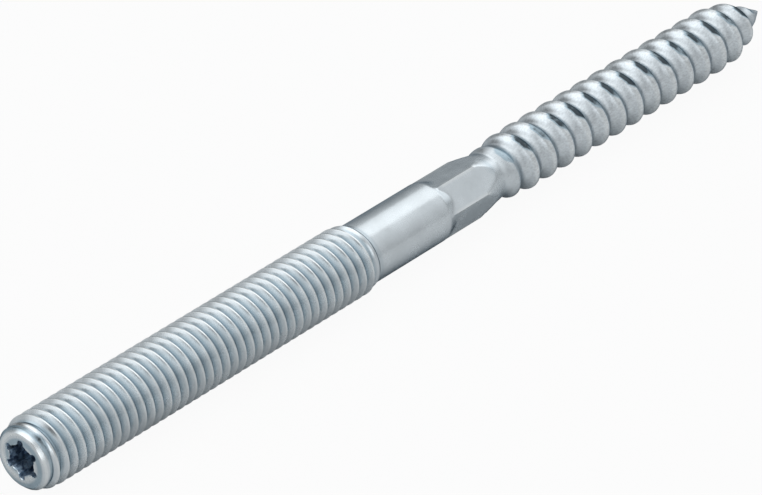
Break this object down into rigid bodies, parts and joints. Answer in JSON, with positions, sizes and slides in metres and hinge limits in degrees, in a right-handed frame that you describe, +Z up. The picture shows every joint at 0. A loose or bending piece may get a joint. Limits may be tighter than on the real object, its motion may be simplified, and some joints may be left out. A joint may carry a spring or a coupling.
{
  "type": "hanger bolt",
  "caption": "Steel hanger bolt: machine thread with a six-lobe recess at one end, plain shank with wrench flats, and a coarse wood thread running to a gimlet point.",
  "frame": {"origin": "under the middle of the bolt's length, on the surface that it lies on", "axes": "+X along the bolt, from the drive end to the point; +Z up"},
  "size_m": [0.12, 0.008, 0.008],
  "materials": {
    "zinc_plated_steel": "bright blue-white zinc plating"
  },
  "bodies": {
    "root": {"hanger_bolt": "zinc_plated_steel"}
  },
  "joints": []
}
